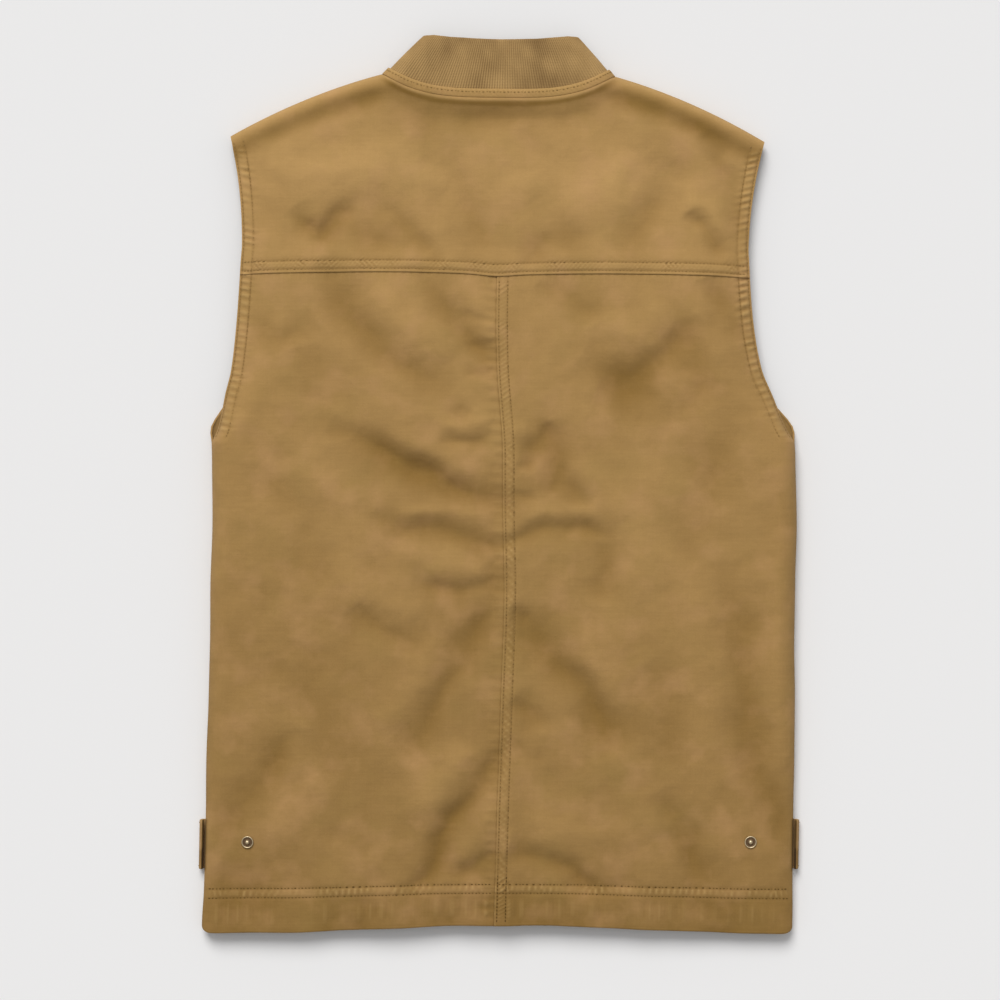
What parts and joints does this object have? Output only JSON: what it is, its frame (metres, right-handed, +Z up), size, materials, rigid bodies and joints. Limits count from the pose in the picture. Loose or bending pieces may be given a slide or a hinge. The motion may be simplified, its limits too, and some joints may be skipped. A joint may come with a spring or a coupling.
{
  "type": "utility work vest",
  "caption": "Sleeveless canvas work vest with a rib-knit stand collar, lapped back yoke and side tabs, lying flat with its back up.",
  "frame": {"origin": "middle of the vest's footprint, on the surface that it lies on", "axes": "+X to the right of the back as seen, +Y from the hem to the collar, +Z up, out of the back"},
  "size_m": [0.5348, 0.7974, 0.032],
  "materials": {
    "canvas": "washed khaki cotton canvas, matt, with twin topstitching",
    "rib_knit": "khaki rib knit, matt",
    "antique_brass": "dull antique brass press stud",
    "zip": "khaki zip tape with its teeth as one bar"
  },
  "bodies": {
    "root": {"back_yoke": "canvas", "back_panel_left": "canvas", "back_panel_right": "canvas", "front_panel_left": "canvas", "front_panel_right": "canvas", "neck_band": "canvas", "collar": "rib_knit", "side_tab_left": "canvas", "side_tab_right": "canvas", "snap_stud_left": "antique_brass", "snap_stud_right": "antique_brass", "front_zip": "zip"}
  },
  "joints": []
}
